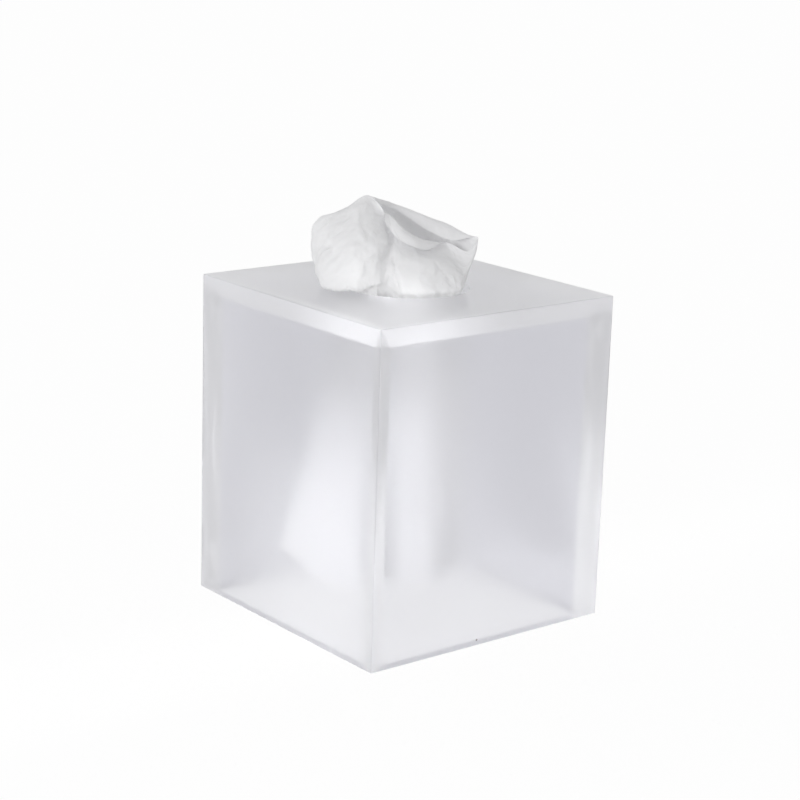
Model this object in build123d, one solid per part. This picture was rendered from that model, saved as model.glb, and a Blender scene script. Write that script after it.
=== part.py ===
from build123d import *
import os
from math import copysign, cos, floor, pi, radians, sin

# Driving sizes of the cover, in millimetres
cover_width = 133.0
cover_height = 152.0
panel_thickness = 10.0
hole_diameter = 58.0
outer_edge_round = 0.6
hole_edge_bevel = 0.8

# Driving sizes of the tissue sheet
sheet_thickness = 1.0
sheet_clearance = 0.3
sheet_turn = -38.45
gather_count = 8
gather_depth = 2.5
bend_length = 5.0
steps_between_stations = 3
row_spacing = 8.5

half_width = cover_width / 2
hole_radius = hole_diameter / 2
cavity_width = cover_width - 2 * panel_thickness
cavity_height = cover_height - panel_thickness
sheet_offset = sheet_thickness / 2 + sheet_clearance
neck_radius = hole_radius - sheet_offset
wall_reach = cavity_width / 2 - sheet_offset

# The sheet goes once round the hole, station by station: along the back layer, round the
# right corner, back along the front layer, into the pleat and round the billow on the left.
# A ring gives each station's place across the view, away from it, and above the cover's top,
# in hole radii.
crest = [(-0.59, 0.24, 1.34), (-0.21, 0.28, 1.22), (0.28, 0.28, 1.05), (0.76, 0.22, 0.87),
         (1.10, 0.07, 0.77), (0.98, -0.16, 0.65), (0.59, -0.28, 0.69), (0.17, -0.36, 0.81),
         (-0.14, -0.34, 1.03), (-0.28, -0.21, 1.14), (-0.43, -0.17, 1.26), (-0.64, -0.05, 1.40),
         (-1.03, -0.07, 1.21), (-1.39, -0.14, 1.07), (-1.17, 0.28, 0.93)]
belly = [(-0.41, 0.10, 0.62), (-0.10, 0.28, 0.59), (0.31, 0.31, 0.52), (0.72, 0.17, 0.47),
         (1.03, -0.03, 0.43), (0.92, -0.22, 0.28), (0.60, -0.47, 0.38), (0.24, -0.59, 0.45),
         (-0.17, -0.59, 0.52), (-0.31, -0.45, 0.55), (-0.38, -0.69, 0.62), (-0.79, -0.79, 0.62),
         (-1.26, -0.59, 0.59), (-1.48, -0.21, 0.47), (-1.28, 0.31, 0.45)]
skirt = [(-0.34, 0.14, 0.28), (-0.07, 0.29, 0.26), (0.31, 0.28, 0.24), (0.71, 0.12, 0.22),
         (0.97, -0.14, 0.21), (0.87, -0.40, 0.16), (0.60, -0.64, 0.17), (0.24, -0.81, 0.21),
         (-0.11, -0.82, 0.24), (-0.29, -0.59, 0.28), (-0.43, -0.86, 0.21), (-0.79, -0.95, 0.10),
         (-1.17, -0.78, 0.06), (-1.34, -0.31, 0.11), (-1.21, 0.24, 0.17)]
# In the hole a station has a direction in degrees and a share of the room out to the wall.
neck = [(153, 0.32), (90, 0.29), (36, 0.40), (6, 0.68), (-13, 0.96), (-30, 1), (-52, 1), (-75, 1),
        (-95, 0.98), (-109, 0.76), (-117, 0.97), (-134, 1), (-152, 1), (-172, 1), (-190, 0.97)]
# The lower hem hangs in the front corner of the cavity. Its places are shares of the room
# out to the walls, and its depth below the cover's top is a share of the cavity's height.
foot = [(-0.25, 0.14, 0.73), (-0.07, 0.05, 0.75), (0.11, -0.09, 0.77), (0.21, -0.31, 0.79),
        (0.20, -0.54, 0.81), (0.05, -0.72, 0.83), (-0.14, -0.84, 0.85), (-0.38, -0.88, 0.865),
        (-0.59, -0.81, 0.87), (-0.70, -0.61, 0.865), (-0.83, -0.72, 0.88), (-0.94, -0.54, 0.885),
        (-0.99, -0.31, 0.875), (-1, -0.05, 0.855), (-1, 0.18, 0.825)]
# The upper hem is bent over at each station: the straight length past the bend, in lengths of
# the bend, and the angle of the bend in degrees, positive to the outside of the loop.
hem_fold = [(0.5, -160), (0.8, -165), (1, -155), (0.8, -145), (0.3, -10), (0.2, 15), (0.6, 150), (0.9, 172),
            (0.9, 170), (0.7, 140), (0.4, 50), (0.4, -25), (0.4, -75), (0.4, -125), (0.6, -150)]
# How deep the gathers are at each ring: none at the crest, full in the hole.
gather_share = (0, 0, 0, 0, 0.1, 0.3, 0.6, 0.8, 1, 1, 0.9, 0.8, 0.7, 0.6)
# Below the hole the sheet swings out to its foot: share of the drop, share of the swing.
hang = [(0.16, 0.06), (0.40, 0.27), (0.62, 0.47), (0.80, 0.74), (1, 1)]


def side_wall(turn):
    """A mitred wall with its outer face towards -Y, then turned about the cover's axis."""
    outside = Plane((0, -half_width, 0), x_dir=(1, 0, 0), z_dir=(0, -1, 0))
    inside = outside.offset(-panel_thickness)
    base = (Align.CENTER, Align.MIN)
    outer = outside * Rectangle(cover_width, cover_height, align=base)
    inner = inside * Rectangle(cavity_width, cavity_height, align=base)
    wall = Solid.make_loft([inner.wire(), outer.wire()], ruled=True)
    return (wall & envelope).rotate(Axis.Z, turn)


def top_panel():
    """The mitred top, with the round hole and its bevelled edges."""
    outer = Plane.XY.offset(cover_height) * Rectangle(cover_width, cover_width)
    inner = Plane.XY.offset(cavity_height) * Rectangle(cavity_width, cavity_width)
    top = Solid.make_loft([inner.wire(), outer.wire()], ruled=True) & envelope
    middle = cover_height - panel_thickness / 2
    bore = Pos(0, 0, middle) * Cylinder(hole_radius, panel_thickness)
    top = top - bore
    rims = top.edges().filter_by(GeomType.CIRCLE).filter_by(lambda edge: edge.radius == hole_radius)
    return top.chamfer(hole_edge_bevel, None, rims)


def slope(points, k):
    """The direction of the smooth curve at one of its points."""
    if k == 0:
        return (points[1] - points[0]).normalized()
    if k == len(points) - 1:
        return (points[-1] - points[-2]).normalized()
    back, ahead = points[k] - points[k - 1], points[k + 1] - points[k]
    return back.normalized() * (ahead.length / (back.length + ahead.length)) + ahead.normalized() * (
        back.length / (back.length + ahead.length)
    )


def smooth_point(points, place):
    """The point at a place, counted in points, on the smooth curve through them."""
    k = min(floor(place), len(points) - 2)
    t = place - k
    run = (points[k + 1] - points[k]).length
    ends = points[k] * (2 * t**3 - 3 * t**2 + 1) + points[k + 1] * (3 * t**2 - 2 * t**3)
    return ends + (slope(points, k) * (t**3 - 2 * t**2 + t) + slope(points, k + 1) * (t**3 - t**2)) * run


def above_top(ring):
    """A ring's stations in the cover's frame, turned with the sheet."""
    places = [Vector(*station) * hole_radius + Vector(0, 0, cover_height) for station in ring]
    return [place.rotate(Axis.Z, sheet_turn) for place in places]


def plan_normal(ring, station):
    """The level direction out of the loop at a station."""
    before = ring[max(station - 1, 0)]
    after = ring[min(station + 1, len(ring) - 1)]
    along = after - before
    return Vector(-along.Y, along.X, 0).normalized()


def hem_section(length, bend):
    """Across the hem: its end, then the end, middle and start of its bend, from its highest point."""
    angle = radians(abs(bend))
    radius = bend_length / angle
    side = copysign(1, bend)

    def bent(turn):
        return Vector(side * radius * (1 - cos(turn)), radius * sin(turn))

    tip = bent(angle) + Vector(side * sin(angle), cos(angle)) * length * bend_length
    highest = bent(pi / 2) if angle > pi / 2 else tip
    return [place - highest for place in (tip, bent(angle), bent(angle / 2), bent(0))]


def folded_hem(top, below):
    """The rings of the bent hem, whose highest line is the crest."""
    rings = [[], [], [], []]
    for station, (length, bend) in enumerate(hem_fold):
        up = (top[station] - below[station]).normalized()
        out = plan_normal(top, station)
        for ring, place in zip(rings, hem_section(length, bend)):
            ring.append(top[station] + out * place.X + up * place.Y)
    return rings


def neck_ring(height, reach):
    """The loop where it passes the hole, at a height from the cover's top."""
    ring = []
    for direction, share in neck:
        angle = radians(direction + sheet_turn)
        far = reach * share
        ring.append(Vector(far * cos(angle), far * sin(angle), cover_height + height))
    return ring


def hanging_rings(start):
    """Rings from the hole down to the lower hem."""
    ends = []
    for x, y, drop in foot:
        ends.append(Vector(x * wall_reach, y * wall_reach, cover_height - drop * cavity_height))
    rings = []
    for fall, swing in hang:
        ring = []
        for high, low in zip(start, ends):
            plan = high + (low - high) * swing
            ring.append(Vector(plan.X, plan.Y, high.Z + (low.Z - high.Z) * fall))
        rings.append(ring)
    return rings


def surface_normal(rows, i, j):
    """The unit normal of a grid of points at one of them, from its neighbours."""
    above, under = rows[max(i - 1, 0)][j], rows[min(i + 1, len(rows) - 1)][j]
    left, right = rows[i][max(j - 1, 0)], rows[i][min(j + 1, len(rows[0]) - 1)]
    return (under - above).cross(right - left).normalized()


def sheet_rings():
    """The rings that the sheet's middle surface passes through, upper hem first."""
    middle, low = above_top(belly), above_top(skirt)
    brim = neck_ring(sheet_offset + hole_edge_bevel / 2, neck_radius + hole_edge_bevel)
    mouth = neck_ring(-hole_edge_bevel, neck_radius)
    throat = neck_ring(-panel_thickness, neck_radius)
    above = [*folded_hem(above_top(crest), middle), middle, low]
    return [*above, brim, mouth, throat, *hanging_rings(throat)]


def gathered(ring, share):
    """A ring as a close row of points, drawn inwards in even gathers."""
    count = (len(ring) - 1) * steps_between_stations
    row = [smooth_point(ring, j / steps_between_stations) for j in range(count + 1)]
    waves = [(1 - cos(2 * pi * gather_count * j / count)) / 2 for j in range(count + 1)]
    return [point - plan_normal(row, j) * gather_depth * share * waves[j] for j, point in enumerate(row)]


def sheet_grid():
    """The sheet's middle surface as rows of points, a row spacing apart."""
    rings = sheet_rings()
    rows = []
    for k in range(len(rings) - 1):
        gaps = [(low - high).length for high, low in zip(rings[k], rings[k + 1])]
        steps = max(2, round(sum(gaps) / len(gaps) / row_spacing))
        for step in range(steps):
            part = step / steps
            ring = [smooth_point([each[j] for each in rings], k + part) for j in range(len(crest))]
            share = gather_share[k] * (1 - part) + gather_share[k + 1] * part
            rows.append(gathered(ring, share))
    rows.append(gathered(rings[-1], gather_share[-1]))
    return rows


def ruled_faces(rows):
    """Straight-lined faces between neighbouring rows of points."""
    lines = [Wire.make_polygon(row, close=False) for row in rows]
    return Shell.make_loft(lines, ruled=True).faces()


def skin_rows(rows, distance):
    """The grid moved a distance along its normals."""
    return [
        [point + surface_normal(rows, i, j) * distance for j, point in enumerate(row)]
        for i, row in enumerate(rows)
    ]


def tissue_sheet():
    """The gathered sheet: a skin half a thickness to each side, closed along the four edges."""
    rows = sheet_grid()
    skins = [skin_rows(rows, side * sheet_thickness) for side in (-0.5, 0.5)]
    faces = []
    for skin in skins:
        faces += ruled_faces(skin)
    for end in (0, -1):
        faces += ruled_faces([skin[end] for skin in skins])
        faces += ruled_faces([[row[end] for row in skin] for skin in skins])
    return Solid(Shell(faces))


whole_block = Box(cover_width, cover_width, cover_height, align=(Align.CENTER, Align.CENTER, Align.MIN))
envelope = fillet(whole_block.edges(), outer_edge_round)
pieces = {
    "front_panel": side_wall(0),
    "right_panel": side_wall(90),
    "back_panel": side_wall(180),
    "left_panel": side_wall(270),
    "top_panel": top_panel(),
    "tissue": tissue_sheet(),
}

os.makedirs("parts", exist_ok=True)
for name, shape in pieces.items():
    export_step(shape, f"parts/{name}.step")
    print(name, "volume", round(shape.volume), "valid", shape.is_valid)
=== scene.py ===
# %% [markdown]
# A frosted acrylic cover stands over a cube box of tissues, and one tissue is drawn through the round hole
# in its top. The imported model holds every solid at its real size: five mitred panels and a plain thick
# stand-in for the tissue. This lesson dresses it. The panels keep their solids and get a real frosted
# acrylic, and the stand-in is replaced by a thin gathered sheet of paper. Everything is in metres.

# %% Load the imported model
import bpy
import numpy as np
from mathutils import Matrix, Vector


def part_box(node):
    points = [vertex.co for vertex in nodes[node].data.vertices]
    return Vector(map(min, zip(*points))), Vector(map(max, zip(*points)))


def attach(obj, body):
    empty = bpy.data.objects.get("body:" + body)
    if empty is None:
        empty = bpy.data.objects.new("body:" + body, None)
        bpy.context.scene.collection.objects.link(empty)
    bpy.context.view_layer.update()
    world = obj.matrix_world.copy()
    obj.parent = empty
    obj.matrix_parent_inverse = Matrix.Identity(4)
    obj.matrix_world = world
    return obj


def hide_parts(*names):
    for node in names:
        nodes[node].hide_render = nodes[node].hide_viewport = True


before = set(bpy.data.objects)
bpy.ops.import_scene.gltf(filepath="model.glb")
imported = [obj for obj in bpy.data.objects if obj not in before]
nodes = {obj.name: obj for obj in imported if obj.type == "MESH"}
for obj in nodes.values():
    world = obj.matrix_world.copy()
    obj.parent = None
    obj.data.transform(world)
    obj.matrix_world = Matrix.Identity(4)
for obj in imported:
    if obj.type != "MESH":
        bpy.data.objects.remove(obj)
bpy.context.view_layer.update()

panel_names = ("front_panel", "right_panel", "back_panel", "left_panel", "top_panel")
print("nodes", sorted(nodes))

# %% [markdown]
# Sizes come from the frame where it has them. The top panel gives the cover's width and height and the
# wall's thickness. The hole is round and stands in the middle, so one number says all about it.

# %% Sizes
MM = 0.001
top_low, top_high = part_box("top_panel")
cover_width = top_high.x - top_low.x
cover_height = top_high.z
panel_thickness = top_high.z - top_low.z
half_width = cover_width / 2
hole_radius = 29 * MM
hole_edge_bevel = 0.8 * MM
for name, size in (("width", cover_width), ("height", cover_height), ("wall", panel_thickness)):
    print(name, round(size / MM, 1), "mm")

# %% [markdown]
# The camera stands where the photographer stood. The seven corners of the cover that the picture shows
# settle its place, its tilt and its lens, so nothing here was set by eye. A camera looks along its own -Z.

# %% Camera
camera_place = Vector((-0.58498, -0.72258, 0.34358))
camera_right = Vector((0.78280, -0.62152, 0.03096))
camera_up = Vector((0.13566, 0.21900, 0.96626))
camera_data = bpy.data.cameras.new("camera")
camera_data.lens = 93.77
camera_data.sensor_width = 36
camera = bpy.data.objects.new("camera", camera_data)
bpy.context.scene.collection.objects.link(camera)
camera_back = camera_right.cross(camera_up)
camera_turn = Matrix((camera_right, camera_up, camera_back)).transposed().to_4x4()
camera.matrix_world = Matrix.Translation(camera_place) @ camera_turn
bpy.context.scene.camera = camera
bpy.context.scene.view_settings.view_transform = "Standard"
print("camera", [round(v, 3) for v in camera_place])

# %% [markdown]
# Node trees are long to write by hand. A few helpers keep them readable. add_node adds any node: its
# settings first, then the values or links of its sockets. Value wraps a socket, so that sums, products and
# comparisons of numbers that vary over a surface can be written as plain Python.

# %% Helpers for node trees
def add_node(tree, kind, settings=None, sockets=None):
    """Adds one node, with its settings and then its sockets' values or links."""
    node = tree.nodes.new(kind)
    for name, value in (settings or {}).items():
        setattr(node, name, value)
    for name, value in (sockets or {}).items():
        plug(tree, node.inputs[name], value)
    return node


def plug(tree, target, value):
    """Links a value to a socket, or sets a plain number or colour on it."""
    if isinstance(value, Value):
        tree.links.new(value.socket, target)
    elif isinstance(value, bpy.types.NodeSocket):
        tree.links.new(value, target)
    else:
        target.default_value = value


class Value:
    """A number that varies over a surface. Arithmetic on it adds Math nodes."""

    def __init__(self, socket):
        self.socket = socket
        self.tree = socket.id_data

    def math(self, operation, *others):
        node = add_node(self.tree, "ShaderNodeMath", {"operation": operation})
        for target, value in zip(node.inputs, (self, *others)):
            plug(self.tree, target, value)
        return Value(node.outputs[0])

    def __add__(self, other):
        return self.math("ADD", other)

    def __sub__(self, other):
        return self.math("SUBTRACT", other)

    def __mul__(self, other):
        return self.math("MULTIPLY", other)

    def __rsub__(self, other):
        return self.math("MULTIPLY", -1).math("ADD", other)

    def __lt__(self, other):
        return self.math("LESS_THAN", other)

    def __gt__(self, other):
        return self.math("GREATER_THAN", other)

    def __abs__(self):
        return self.math("ABSOLUTE")

    __radd__ = __add__
    __rmul__ = __mul__


def largest(*values):
    """The largest of several values at each point."""
    result = values[0]
    for value in values[1:]:
        result = result.math("MAXIMUM", value)
    return result


def flat_grey(level):
    return (level, level, level, 1)


def mix_shader(tree, factor, first, second):
    """The first shader where the factor is 0, and the second where it is 1."""
    return add_node(tree, "ShaderNodeMixShader", None, {0: factor, 1: first, 2: second}).outputs[0]


def white_glow(tree):
    """A surface that shows as pure white whatever light falls on it."""
    return add_node(tree, "ShaderNodeEmission", None, {"Color": flat_grey(1), "Strength": 1.0}).outputs[0]


def new_material(name):
    """An empty material with its output node."""
    material = bpy.data.materials.new(name)
    material.use_nodes = True
    material.node_tree.nodes.clear()
    output = add_node(material.node_tree, "ShaderNodeOutputMaterial")
    return material, material.node_tree, output


def sees_backdrop(tree):
    """1 for rays that show the backdrop: straight to the camera, mirrored or through a clear wall."""
    path = add_node(tree, "ShaderNodeLightPath").outputs
    return largest(*(Value(path[name]) for name in ("Is Camera Ray", "Is Glossy Ray", "Is Transmission Ray")))


print("helpers ready")

# %% [markdown]
# The object stands in a white studio. Floor and backdrop are plain white wherever a ray goes straight to
# them, mirrored or through the acrylic. For the light that they throw on the object both stay at a plain
# level, so white paper renders about as white as it is written. The floor lies a hair below the cover, so
# the two never share a plane.

# %% World and floor
room_light = 0.66
floor_own_white = 0.96
floor_drop = 0.1 * MM
floor_size = 60
floor_grey = 0.9


def backdrop(tree, output, lit_shader, own_white):
    """A surface that is its own white to rays that show it, and lit_shader to the rest."""
    share = sees_backdrop(tree) * own_white
    plug(tree, output.inputs["Surface"], mix_shader(tree, share, lit_shader, white_glow(tree)))


world = bpy.data.worlds.new("studio")
bpy.context.scene.world = world
world.use_nodes = True
world.node_tree.nodes.clear()
world_output = add_node(world.node_tree, "ShaderNodeOutputWorld")
soft = add_node(
    world.node_tree, "ShaderNodeBackground", None, {"Color": flat_grey(1), "Strength": room_light}
).outputs[0]
backdrop(world.node_tree, world_output, soft, 1.0)

paint, tree, output = new_material("white_floor")
lit_paint = add_node(
    tree, "ShaderNodeBsdfPrincipled", None, {"Base Color": flat_grey(floor_grey), "Roughness": 0.9}
).outputs[0]
backdrop(tree, output, lit_paint, floor_own_white)

bpy.ops.mesh.primitive_plane_add(size=floor_size)
floor = bpy.context.object
floor.name = "floor"
floor.data.transform(Matrix.Translation((0, 0, -floor_drop)))
floor.data.materials.append(paint)
print("floor", floor_size, "m wide, room light", room_light)

# %% [markdown]
# One broad key lamp, high on the left, models the folds. Three small narrow lamps add the soft pools of
# light that the picture shows: low on the left wall, on the front wall and on the front corner of the top.
# An area lamp shines along its own -Z, so its turn comes from the way to its target.

# %% Lamps
# name, place, target, width, watts, spread in radians
lamps = [
    ("left_lamp", (-0.6, 0.0, 0.05), (-0.05, -0.01, 0.035), 0.08, 0.2, 0.14),
    ("front_lamp", (0.1, -1.0, 0.10), (-0.02, -0.03, 0.08), 0.12, 0.011, 0.13),
    ("key_lamp", (-1.1, -0.35, 0.4), (0, 0, 0.15), 0.3, 4.2, 3.14),
    ("high_lamp", (-0.25, -0.3, 1.2), (-0.049, -0.051, 0.151), 0.06, 0.022, 0.06),
]
for name, lamp_place, lamp_target, lamp_width, lamp_power, lamp_spread in lamps:
    lamp_data = bpy.data.lights.new(name, "AREA")
    lamp_data.shape = "SQUARE"
    lamp_data.size = lamp_width
    lamp_data.energy = lamp_power
    lamp_data.spread = lamp_spread
    lamp = bpy.data.objects.new(name, lamp_data)
    lamp.location = lamp_place
    way = Vector(lamp_target) - Vector(lamp_place)
    lamp.rotation_euler = way.to_track_quat("-Z", "Y").to_euler()
    bpy.context.scene.collection.objects.link(lamp)
print(len(lamps), "lamps")

# %% [markdown]
# Frosted acrylic is clear plastic with a satin surface: light goes through it, bent and blurred. The body is
# one Principled shader with the refraction of acrylic. Its lilac tint counts once at each wall, where a ray
# goes in, and the faces of the cavity are a little rougher than the outer ones. One dark speck near the
# foot of the front panel is colour in the same shader.
#
# One material serves five panels, so it has to know where it is. Comparisons of a point's place and of its
# normal give masks: 1 where they hold and 0 elsewhere, and a product of masks means that all of them hold.
# Positions of single axes come from a Separate XYZ node, since Value holds one number.

# %% Masks on the acrylic
on_face = 0.1 * MM          # a point this near to a plane counts as on it
joint_inset = 0.2 * MM      # the joints end this far inside the outer faces
slant, slant_margin = 0.70711, 0.004
speck_place, speck_radius = (-6.9 * MM, 2.7 * MM), 0.5 * MM


def parts_of(tree, vector):
    """The three numbers of a vector socket."""
    node = add_node(tree, "ShaderNodeSeparateXYZ", None, {"Vector": vector})
    return [Value(socket) for socket in node.outputs]


def acrylic_masks(tree, geometry):
    """Masks of the cavity's faces, the top's upper face, the speck and the mitre joints."""
    x, y, z = parts_of(tree, add_node(tree, "ShaderNodeTexCoord").outputs["Object"])
    from_middle = largest(abs(x), abs(y))
    cavity_face = (from_middle < half_width - panel_thickness + on_face) * (z < top_low.z + on_face)
    upper_face = z > top_high.z - on_face
    across_speck, above_speck = x - speck_place[0], z - speck_place[1]
    from_speck = (across_speck * across_speck + above_speck * above_speck).math("SQRT")
    speck = (from_speck < speck_radius) * (y < on_face - half_width)
    across, along, upward = (abs(part) for part in parts_of(tree, geometry.outputs["True Normal"]))
    slanted = abs(largest(across, along, upward) - slant) < slant_margin
    inside = from_middle < half_width - joint_inset
    outside_hole = (x * x + y * y).math("SQRT") > hole_radius + 2 * hole_edge_bevel
    return cavity_face, upper_face, speck, slanted * inside * outside_hole


print("speck at", [round(v / MM, 1) for v in speck_place], "mm")

# %% [markdown]
# The real cover is five sheets cut at 45 degrees and bonded along their mitres, and the walls' thickness
# shows as pale bands along the edges. The panels stay five solids here, and their mitre faces, found by
# their slanted normals, are milky: partly clear, partly a white that scatters light both ways, with a
# little painted glow, white emission that stands in for the light that a real wall carries to its edges.
# The top's upper face adds a small share of the same milky white, which shows the light that falls on it.
#
# Bent light is slow to find a small lamp, so a path tracer leaves the inside too dark. Rays that only carry
# light, shadow rays and diffuse rays, therefore pass through the walls almost unweakened.
#
# Colours can't go through Value, because a Math node turns a colour grey, so a Mix node mixes them.

# %% Frosted acrylic
acrylic_ior = 1.49
outer_roughness, inner_roughness = 0.29, 0.38
skin_tint = (0.70, 0.70, 0.752, 1)
speck_colour = (0.12, 0.1, 0.1, 1)
skin_passes = 0.97
frost_share = 0.12
milky_white = 0.98
# the second number is the share of painted glow, white emission on the mitre faces
joint_share, painted_joint_glow = 0.7, 0.28


def mix_colour(tree, factor, first, second):
    """The first colour where the factor is 0, and the second where it is 1."""
    sockets = {"Factor": factor, 6: first, 7: second}
    return add_node(tree, "ShaderNodeMix", {"data_type": "RGBA"}, sockets).outputs[2]


def skin_shader(tree, geometry, cavity_face, speck):
    tint = mix_colour(tree, geometry.outputs["Backfacing"], skin_tint, flat_grey(1))
    sockets = {
        "Base Color": mix_colour(tree, speck, tint, speck_colour),
        "Roughness": cavity_face * (inner_roughness - outer_roughness) + outer_roughness,
        "IOR": acrylic_ior,
        "Transmission Weight": 1.0,
    }
    return add_node(tree, "ShaderNodeBsdfPrincipled", None, sockets).outputs[0]


def milky_shader(tree):
    colour = {"Color": flat_grey(milky_white)}
    towards = add_node(tree, "ShaderNodeBsdfDiffuse", None, colour).outputs[0]
    onwards = add_node(tree, "ShaderNodeBsdfTranslucent", None, colour).outputs[0]
    return mix_shader(tree, 0.5, towards, onwards)


def acrylic_material():
    material, tree, output = new_material("frosted_acrylic")
    geometry = add_node(tree, "ShaderNodeNewGeometry")
    cavity_face, upper_face, speck, joint_face = acrylic_masks(tree, geometry)
    skin, milky = skin_shader(tree, geometry, cavity_face, speck), milky_shader(tree)
    frosted = mix_shader(tree, upper_face * frost_share, skin, milky)
    clear = add_node(tree, "ShaderNodeBsdfTransparent").outputs[0]
    # The mitre faces get painted glow: white emission in place of the light that the walls carry to their
    # edges.
    joint = mix_shader(tree, joint_share, clear, mix_shader(tree, painted_joint_glow, milky, white_glow(tree)))
    wall = mix_shader(tree, joint_face, frosted, joint)
    path = add_node(tree, "ShaderNodeLightPath").outputs
    lighting_ray = largest(Value(path["Is Shadow Ray"]), Value(path["Is Diffuse Ray"]))
    passed_light = {"Color": flat_grey(skin_passes)}
    let_through = add_node(tree, "ShaderNodeBsdfTransparent", None, passed_light).outputs[0]
    plug(tree, output.inputs["Surface"], mix_shader(tree, lighting_ray, wall, let_through))
    return material


acrylic = acrylic_material()
for name in panel_names:
    nodes[name].data.materials.clear()
    nodes[name].data.materials.append(acrylic)
print("acrylic on", len(panel_names), "panels")

# %% [markdown]
# The tissue is one sheet. It goes once round the hole, so its shape is easiest to give as rings: the line
# that one level of the paper follows, from the upper hem down to the lower one. Each ring names the same
# fifteen stations: four along the back layer, one at the right corner, three along the front layer, the
# ridge and the pleat in the middle, three round the billow, the left corner and the outer end. The rings
# are those of the solid stand-in, with a livelier upper hem and pleat than a thick solid can have.

# %% Rings of the tissue
sheet_turn = -38.45
sheet_offset = 0.8 * MM
bend_length = 5 * MM
neck_radius = hole_radius - sheet_offset
wall_reach = half_width - panel_thickness - sheet_offset
cavity_height = cover_height - panel_thickness

# across the view, away from it, and above the top, in hole radii
crest = [(-0.59, 0.24, 1.34), (-0.21, 0.28, 1.22), (0.28, 0.28, 1.05), (0.76, 0.22, 0.87),
         (1.10, 0.07, 0.77), (0.96, 0.00, 0.57), (0.62, 0.02, 0.69), (0.18, -0.28, 0.79),
         (-0.14, -0.34, 1.01), (-0.28, -0.21, 1.13), (-0.43, -0.17, 1.25), (-0.64, -0.05, 1.40),
         (-0.95, -0.06, 1.22), (-1.34, -0.12, 1.06), (-1.15, 0.28, 0.93)]
belly = [(-0.41, 0.10, 0.62), (-0.10, 0.28, 0.59), (0.31, 0.31, 0.52), (0.72, 0.17, 0.47),
         (1.03, -0.03, 0.43), (0.92, -0.22, 0.28), (0.60, -0.47, 0.38), (0.24, -0.59, 0.45),
         (-0.17, -0.59, 0.52), (-0.27, -0.56, 0.56), (-0.38, -0.69, 0.62), (-0.79, -0.79, 0.62),
         (-1.26, -0.59, 0.59), (-1.48, -0.21, 0.47), (-1.28, 0.31, 0.45)]
skirt = [(-0.34, 0.14, 0.28), (-0.07, 0.29, 0.26), (0.31, 0.28, 0.24), (0.71, 0.12, 0.22),
         (0.97, -0.14, 0.21), (0.87, -0.40, 0.16), (0.60, -0.64, 0.17), (0.24, -0.81, 0.21),
         (-0.11, -0.82, 0.24), (-0.26, -0.73, 0.26), (-0.43, -0.86, 0.21), (-0.79, -0.95, 0.10),
         (-1.17, -0.78, 0.06), (-1.34, -0.31, 0.11), (-1.21, 0.24, 0.17)]
# in the hole: a direction in degrees, and a share of the room out to the wall
neck = [(153, 0.32), (90, 0.29), (36, 0.40), (6, 0.68), (-13, 0.96), (-30, 1), (-52, 1), (-75, 1),
        (-95, 0.98), (-109, 0.76), (-117, 0.97), (-134, 1), (-152, 1), (-172, 1), (-190, 0.97)]
# the lower hem: shares of the room out to the walls, and a share of the cavity's height
foot = [(-0.25, 0.14, 0.73), (-0.07, 0.05, 0.75), (0.11, -0.09, 0.77), (0.21, -0.31, 0.79),
        (0.20, -0.54, 0.81), (0.05, -0.72, 0.83), (-0.14, -0.84, 0.85), (-0.38, -0.88, 0.865),
        (-0.59, -0.81, 0.87), (-0.70, -0.61, 0.865), (-0.83, -0.72, 0.88), (-0.94, -0.54, 0.885),
        (-0.99, -0.31, 0.875), (-1, -0.05, 0.855), (-1, 0.18, 0.825)]
# the upper hem: its straight length in lengths of the bend, and its bend in degrees, outwards above 0
hem_fold = [(0.2, -160), (0.2, -165), (1, -155), (0.9, -145), (0.3, -10),
            (0.2, 15), (0.4, 60), (0.8, 165), (0.9, 170), (0.7, 140),
            (0.4, 50), (0.4, -25), (0.4, -75), (0.4, -125), (0.6, -150)]
# below the hole: share of the drop, share of the swing out to the foot
hang = [(0.16, 0.06), (0.40, 0.27), (0.62, 0.47), (0.80, 0.74), (1, 1)]


def above_top(ring):
    """A ring's stations in the cover's frame, turned with the sheet."""
    places = np.array(ring) * hole_radius
    turn = np.radians(sheet_turn)
    x = places[:, 0] * np.cos(turn) - places[:, 1] * np.sin(turn)
    y = places[:, 0] * np.sin(turn) + places[:, 1] * np.cos(turn)
    return np.stack([x, y, places[:, 2] + cover_height], axis=1)


def unit(vectors):
    return vectors / np.linalg.norm(vectors, axis=-1, keepdims=True)


def plan_normals(row):
    """The level direction out of the loop at each point of a row."""
    ahead = np.concatenate([row[1:], row[-1:]])
    behind = np.concatenate([row[:1], row[:-1]])
    along = ahead - behind
    return unit(np.stack([-along[:, 1], along[:, 0], np.zeros(len(row))], axis=1))


def folded_hem(top, below):
    """Four rings of the bent hem: its edge, and the end, middle and start of its bend."""
    up, out = unit(top - below), plan_normals(top)
    rings = np.zeros((4, len(top), 3))
    for station, (length, bend) in enumerate(hem_fold):
        angle, side = np.radians(abs(bend)), np.sign(bend)
        radius = bend_length / angle

        def bent(turn):
            return np.array([side * radius * (1 - np.cos(turn)), radius * np.sin(turn)])

        tip = bent(angle) + np.array([side * np.sin(angle), np.cos(angle)]) * length * bend_length
        highest = bent(np.pi / 2) if angle > np.pi / 2 else tip
        for ring, place in enumerate((tip, bent(angle), bent(angle / 2), bent(0))):
            sideways, upwards = place - highest
            rings[ring, station] = top[station] + out[station] * sideways + up[station] * upwards
    return list(rings)


def neck_ring(height, reach):
    """The loop where it passes the hole, at a height from the cover's top."""
    direction, share = np.array(neck).T
    angle = np.radians(direction + sheet_turn)
    far, level = reach * share, np.full(len(neck), cover_height + height)
    return np.stack([far * np.cos(angle), far * np.sin(angle), level], axis=1)


def hanging_rings(start):
    """Rings from the hole down to the lower hem."""
    ends = np.array(foot) * (wall_reach, wall_reach, -cavity_height) + (0, 0, cover_height)
    rings = []
    for fall, swing in hang:
        rings.append(start + (ends - start) * (swing, swing, fall))
    return rings


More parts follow.
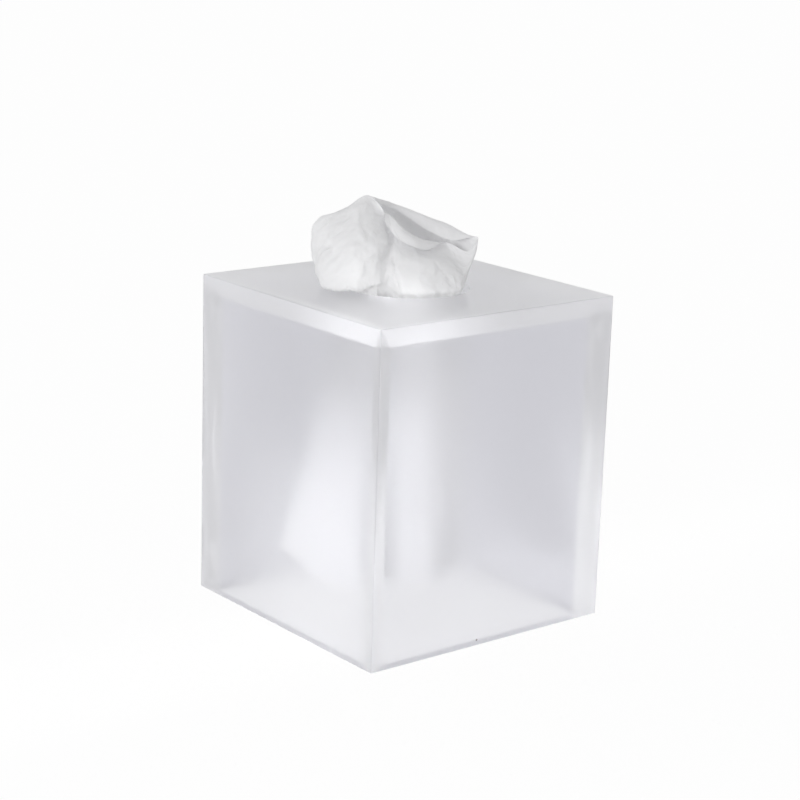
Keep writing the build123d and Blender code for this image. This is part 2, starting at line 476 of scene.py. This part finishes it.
middle_ring, low_ring = above_top(belly), above_top(skirt)
throat = neck_ring(-panel_thickness, neck_radius)
rings = [
    *folded_hem(above_top(crest), middle_ring),
    middle_ring,
    low_ring,
    neck_ring(sheet_offset + hole_edge_bevel / 2, neck_radius + hole_edge_bevel),
    neck_ring(-hole_edge_bevel, neck_radius),
    throat,
    *hanging_rings(throat),
]
print(len(rings), "rings of", len(crest), "stations")

# %% [markdown]
# A smooth curve through a few points, read at any place between them, turns the rings into paper. Read
# first down the stations and then round each level, it gives a fine grid.

# %% Smooth surface through the rings
steps_round = 24
row_spacing_above, row_spacing_below = 0.6 * MM, 1.6 * MM
rim_ring = 6
fewest_steps = 3


def smooth_points(points, places):
    """Points on smooth curves through points[0], points[1] and so on, read at places counted in points."""
    runs = points[1:] - points[:-1]
    lengths = np.linalg.norm(runs, axis=-1, keepdims=True)
    ways = runs / lengths
    between = (ways[:-1] * lengths[1:] + ways[1:] * lengths[:-1]) / (lengths[1:] + lengths[:-1])
    slopes = np.concatenate([ways[:1], between, ways[-1:]])
    k = np.minimum(np.floor(places).astype(int), len(points) - 2)
    t = (places - k).reshape((-1,) + (1,) * (points.ndim - 1))
    ends = points[k] * (2 * t**3 - 3 * t**2 + 1) + points[k + 1] * (3 * t**2 - 2 * t**3)
    return ends + (slopes[k] * (t**3 - 2 * t**2 + t) + slopes[k + 1] * (t**3 - t**2)) * lengths[k]


def even_places(points):
    """Places along the rings such that neighbouring rows are about one row spacing apart."""
    gaps = np.linalg.norm(points[1:] - points[:-1], axis=-1).mean(axis=1)
    places = []
    for k, gap in enumerate(gaps):
        spacing = row_spacing_above if k < rim_ring else row_spacing_below
        steps = max(fewest_steps, round(gap / spacing))
        places.extend(k + np.arange(steps) / steps)
    return np.array(places + [len(points) - 1.0])


stack = np.array(rings)
levels = even_places(stack)
stations = np.linspace(0, len(crest) - 1, (len(crest) - 1) * steps_round + 1)
grid = np.stack([smooth_points(row, stations) for row in smooth_points(stack, levels)])
print("grid of", grid.shape[0], "rows and", grid.shape[1], "columns")

# %% [markdown]
# One sheet is as wide at the hole as at its hem, and the hole squeezes it. The width that doesn't fit goes
# into gathers: waves that push the paper inwards, eight large folds and many small ones at uneven
# distances. Each row looks for the depth of its small folds that brings it to the sheet's full width, up to
# a limit that is nought at the upper hem and grows towards the hole.

# %% Gathers
large_gathers, small_gathers = 8, 27
large_depth = 2.5 * MM
full_width = 188 * MM
right_corner, corner_reach = 4, 0.8     # the small folds fade out round this station
halvings = 10
# how unevenly the small folds follow each other: size, waves round the loop, phase
unevenness = [(0.012, 2.3, 0.2), (0.006, 5.1, 0)]
# at each ring: the share of the large folds, and the most that the small ones may push in, in millimetres
large_share = [0, 0, 0, 0, 0.1, 0.3, 0.6, 0.8, 1, 1, 0.9, 0.8, 0.7, 0.6]
small_limit = [0, 0, 0, 0, 0, 0.05, 0.2, 1.2, 3.2, 3.2, 3, 2.6, 2.2, 1.8]


def row_length(row):
    return np.linalg.norm(row[1:] - row[:-1], axis=-1).sum()


def gather(row, wave, limit):
    """A row with small folds pushed in until it is full_width long, or to the limit."""
    inwards = -plan_normals(row) * wave[:, None]
    low, high = 0.0, limit
    for _ in range(halvings):
        middle = (low + high) / 2
        if row_length(row + inwards * middle) < full_width:
            low = middle
        else:
            high = middle
    return row + inwards * high


def folds(count, along):
    """Waves from 0 to 1 and back, so many round the loop."""
    return (1 - np.cos(2 * np.pi * count * along)) / 2


along_loop = stations / stations[-1]
shift = sum(size * np.sin(2 * np.pi * (waves * along_loop + phase)) for size, waves, phase in unevenness)
small_wave = folds(small_gathers, along_loop + shift)
small_wave = small_wave * (1 - np.exp(-(((stations - right_corner) / corner_reach) ** 2)))
ring_numbers = np.arange(len(rings))
for k, row in enumerate(grid):
    share = np.interp(levels[k], ring_numbers, large_share)
    limit = np.interp(levels[k], ring_numbers, small_limit) * MM
    row = row - plan_normals(row) * (large_depth * share * folds(large_gathers, along_loop))[:, None]
    grid[k] = gather(row, small_wave, limit)
widths = np.array([row_length(row) for row in grid]) / MM
print("row lengths in mm", widths.min().round(), "to", widths.max().round())

# %% [markdown]
# Pulled paper keeps creases. Those that the picture shows are set one by one, each as a line from one place
# on the sheet to another, pushed out as a ridge or in as a furrow with a sharp crown.

# %% Creases
samples_along, crown_power = 15, 1.4
# from and to as (ring, station), height in millimetres, half width in millimetres
creases = [
    ((4.55, 12.1), (3.9, 11.1), 0.9, 1.7), ((3.9, 11.1), (3.7, 10.2), 0.5, 1.5),
    ((4.9, 12.3), (5.15, 9.9), 0.8, 1.4), ((5.1, 11.9), (5.6, 10.0), -0.6, 0.8),
    ((3.75, 12.3), (4.0, 11.7), -1.2, 3.0), ((3.0, 11.3), (3.7, 10.9), 0.5, 1.5),
    ((3.0, 11.9), (3.5, 11.8), -0.5, 1.3), ((3.1, 12.4), (3.6, 12.1), 0.5, 1.2),
    ((3.6, 10.4), (3.9, 9.0), 0.6, 1.4), ((4.0, 8.45), (5.9, 8.3), -0.8, 0.8),
    ((4.1, 8.0), (5.8, 7.9), 0.5, 1.3), ((3.2, 9.9), (3.9, 9.3), -0.6, 1.5),
    ((3.9, 6.4), (4.8, 5.8), -0.5, 1.8), ((3.4, 7.2), (4.6, 7.1), 0.4, 2.0),
    ((4.2, 5.4), (5.6, 5.2), 0.4, 1.5), ((3.6, 12.9), (4.6, 12.7), 0.5, 1.2),
]


def surface_normals(points):
    """The unit normal at each point of the grid, out of the loop."""
    down, along = np.gradient(points, axis=0), np.gradient(points, axis=1)
    return unit(np.cross(along, down))


def surface_place(ring, station):
    """The point of the grid at a ring and a station."""
    row = np.interp(ring, levels, np.arange(len(levels)))
    column = station * steps_round
    return grid[int(round(row)), int(round(column))]


push = np.zeros(grid.shape[:2])
for start, end, height, half_width_mm in creases:
    distance = np.full(push.shape, np.inf)
    for t in np.linspace(0, 1, samples_along):
        ring, station = (start[i] + (end[i] - start[i]) * t for i in (0, 1))
        distance = np.minimum(distance, np.linalg.norm(grid - surface_place(ring, station), axis=-1))
    push += height * MM * np.exp(-((distance / (half_width_mm * MM)) ** crown_power))
grid = grid + surface_normals(grid) * push[:, :, None]
print(len(creases), "creases, pushed", (push.min() / MM).round(2), "to", (push.max() / MM).round(2), "mm")

# %% [markdown]
# The grid becomes a mesh. Three things go with it. A UV map gives each point its place on the flat sheet in
# metres, so a pattern in the material follows the paper. An attribute called flat_place holds the same for
# the crumples. An attribute called slack says how freely the paper can crumple: much in the billow, little
# where it is stretched, pressed to the hole or hanging by its own weight.

# %% Mesh of the sheet
slack_at_station = [0.5, 0.5, 0.5, 0.4, 0.2, 0.3, 0.45, 0.5, 0.6, 0.8, 1, 1, 1, 0.8, 0.6]
slack_at_ring = [0.3, 0.3, 0.4, 0.7, 1, 0.8, 0.4, 0.3, 0.3, 0.4, 0.5, 0.5, 0.4, 0.3]
rows, columns = grid.shape[:2]
index = np.arange(rows * columns).reshape(rows, columns)
quads = np.stack([index[:-1, :-1], index[:-1, 1:], index[1:, 1:], index[1:, :-1]], axis=-1).reshape(-1, 4)
across = np.cumsum(np.linalg.norm(np.diff(grid, axis=1, prepend=grid[:, :1]), axis=-1), axis=1)
down = np.cumsum(np.linalg.norm(np.diff(grid, axis=0, prepend=grid[:1]), axis=-1), axis=0)
flat_place = np.stack([across, down, np.zeros_like(down)], axis=-1).reshape(-1, 3)
ring_slack = np.interp(levels, ring_numbers, slack_at_ring)
station_slack = np.interp(stations, np.arange(len(crest)), slack_at_station)
slack = ring_slack[:, None] * station_slack[None, :]

mesh = bpy.data.meshes.new("tissue_paper")
mesh.from_pydata(grid.reshape(-1, 3).tolist(), [], quads.tolist())
mesh.polygons.foreach_set("use_smooth", [True] * len(mesh.polygons))
uv_layer = mesh.uv_layers.new(name="flat_sheet")
uv_layer.data.foreach_set("uv", flat_place[quads.reshape(-1)][:, :2].reshape(-1))
mesh.attributes.new("flat_place", "FLOAT_VECTOR", "POINT").data.foreach_set("vector", flat_place.reshape(-1))
mesh.attributes.new("slack", "FLOAT", "POINT").data.foreach_set("value", slack.reshape(-1))
paper = bpy.data.objects.new("tissue_paper", mesh)
bpy.context.scene.collection.objects.link(paper)
print("faces", len(mesh.polygons), "middle column", (down[-1, columns // 2] / MM).round(), "mm long")

# %% [markdown]
# Tissue paper is white, soft and thin: it scatters light from its face and lets some through from behind.
# A fine crepe of tiny ridges across the sheet, left by the drum that it was dried on, breaks up its sheen,
# and low sharp wrinkles catch the light. Both are too shallow to show in the outline, so they are bumps.

# %% Tissue paper material
paper_white = (0.88, 0.88, 0.89, 1)
see_through_share = 0.2
crepe_per_metre, crepe_height, crepe_stretch = 900, 0.03 * MM, (0.35, 1, 1)
wrinkles_per_metre, wrinkle_height, wrinkle_sharpness = 70, 0.4 * MM, 6


def noise_at(tree, place, per_metre, detail, roughness):
    sockets = {"Vector": place, "Scale": per_metre, "Detail": detail, "Roughness": roughness}
    return add_node(tree, "ShaderNodeTexNoise", None, sockets)


def ridged(noise, sharpness):
    """1 along the sharp winding lines where a noise crosses its middle value, falling between them."""
    return 1 - abs(Value(noise.outputs[0]) - 0.5) * sharpness


def bump(tree, height, distance, under=None):
    """A normal tilted by a height, on top of an earlier bump where one is given."""
    sockets = {"Strength": 1.0, "Distance": distance, "Height": height}
    if under:
        sockets["Normal"] = under
    return add_node(tree, "ShaderNodeBump", None, sockets).outputs[0]


def paper_material():
    material, tree, output = new_material("tissue_paper")
    place = add_node(tree, "ShaderNodeUVMap", {"uv_map": "flat_sheet"}).outputs["UV"]
    stretched = add_node(
        tree, "ShaderNodeVectorMath", {"operation": "MULTIPLY"}, {0: place, 1: crepe_stretch}
    ).outputs[0]
    lines = noise_at(tree, place, wrinkles_per_metre, detail=2, roughness=0.5)
    wrinkled = bump(tree, ridged(lines, wrinkle_sharpness).math("MAXIMUM", 0), wrinkle_height)
    fibres = noise_at(tree, stretched, crepe_per_metre, detail=3, roughness=0.6)
    crepe = bump(tree, fibres.outputs[0], crepe_height, wrinkled)
    face_sockets = {"Base Color": paper_white, "Roughness": 0.9, "Normal": crepe}
    face = add_node(tree, "ShaderNodeBsdfPrincipled", None, face_sockets).outputs[0]
    behind_sockets = {"Color": paper_white, "Normal": crepe}
    behind = add_node(tree, "ShaderNodeBsdfTranslucent", None, behind_sockets).outputs[0]
    plug(tree, output.inputs["Surface"], mix_shader(tree, see_through_share, face, behind))
    return material


tissue_white = paper_material()
print("paper lets", see_through_share, "of the light through")

# %% [markdown]
# Small crumples have no place of their own, only a character, so a rule makes them. A Geometry Nodes tree
# reads noise at each point's place on the flat sheet. Where the noise crosses its middle value it makes a
# sharp line, and such lines run over the paper as real crumples do. Two sizes are added, each point moves
# along its normal, and slack says how far. The result is taken as a plain mesh.

# %% Crumples
crumple_values = {
    "Large height": 1.6 * MM,
    "Large per metre": 55.0,
    "Small height": 0.5 * MM,
    "Small per metre": 170.0,
    "Seed": 4.0,
    "Material": tissue_white,
}
crumple_sharpness = 5
ridge_average = 0.5         # taken off, so crumples go both in and out


def ridged_noise(tree, place, per_metre, seed):
    """The ridges of a noise that a seed can change."""
    noise = add_node(
        tree,
        "ShaderNodeTexNoise",
        {"noise_dimensions": "4D"},
        {"Vector": place, "W": seed, "Scale": per_metre, "Detail": 1.5, "Roughness": 0.4},
    )
    return ridged(noise, crumple_sharpness)


def stored(tree, name, kind):
    """An attribute that the mesh carries."""
    return add_node(tree, "GeometryNodeInputNamedAttribute", {"data_type": kind}, {"Name": name}).outputs[0]


def crumple_tree():
    tree = bpy.data.node_groups.new("crumple", "GeometryNodeTree")
    tree.interface.new_socket(name="Sheet", in_out="INPUT", socket_type="NodeSocketGeometry")
    for name in crumple_values:
        kind = "NodeSocketMaterial" if name == "Material" else "NodeSocketFloat"
        tree.interface.new_socket(name=name, in_out="INPUT", socket_type=kind)
    tree.interface.new_socket(name="Sheet", in_out="OUTPUT", socket_type="NodeSocketGeometry")
    given = add_node(tree, "NodeGroupInput").outputs
    place = stored(tree, "flat_place", "FLOAT_VECTOR")
    large = ridged_noise(tree, place, given["Large per metre"], given["Seed"])
    small = ridged_noise(tree, place, given["Small per metre"], given["Seed"])
    large_height = (large - ridge_average) * Value(given["Large height"])
    small_height = (small - ridge_average) * Value(given["Small height"])
    normal = add_node(tree, "GeometryNodeInputNormal").outputs[0]
    height = (large_height + small_height) * Value(stored(tree, "slack", "FLOAT"))
    scaled = {0: normal, "Scale": height}
    offset = add_node(tree, "ShaderNodeVectorMath", {"operation": "SCALE"}, scaled).outputs[0]
    sheet = given["Sheet"]
    for kind, extra in (
        ("GeometryNodeSetPosition", {"Offset": offset}),
        ("GeometryNodeRealizeInstances", {}),
        ("GeometryNodeSetMaterial", {"Material": given["Material"]}),
    ):
        sheet = add_node(tree, kind, None, {"Geometry": sheet, **extra}).outputs[0]
    plug(tree, add_node(tree, "NodeGroupOutput").inputs["Sheet"], sheet)
    return tree


modifier = paper.modifiers.new("crumple", "NODES")
modifier.node_group = crumple_tree()
for item in modifier.node_group.interface.items_tree:
    if item.in_out == "INPUT" and item.name in crumple_values:
        modifier[item.identifier] = crumple_values[item.name]
evaluated = paper.evaluated_get(bpy.context.evaluated_depsgraph_get())
crumpled = bpy.data.meshes.new_from_object(evaluated)
paper.modifiers.clear()
paper.data = crumpled
crumpled.name = "tissue_paper_sheet"
paper_area = sum(face.area for face in crumpled.polygons)
print("faces", len(crumpled.polygons), "area in cm2", round(paper_area * 1e4, 1))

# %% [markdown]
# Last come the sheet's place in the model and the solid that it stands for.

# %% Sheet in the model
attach(paper, "root")
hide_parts("tissue")
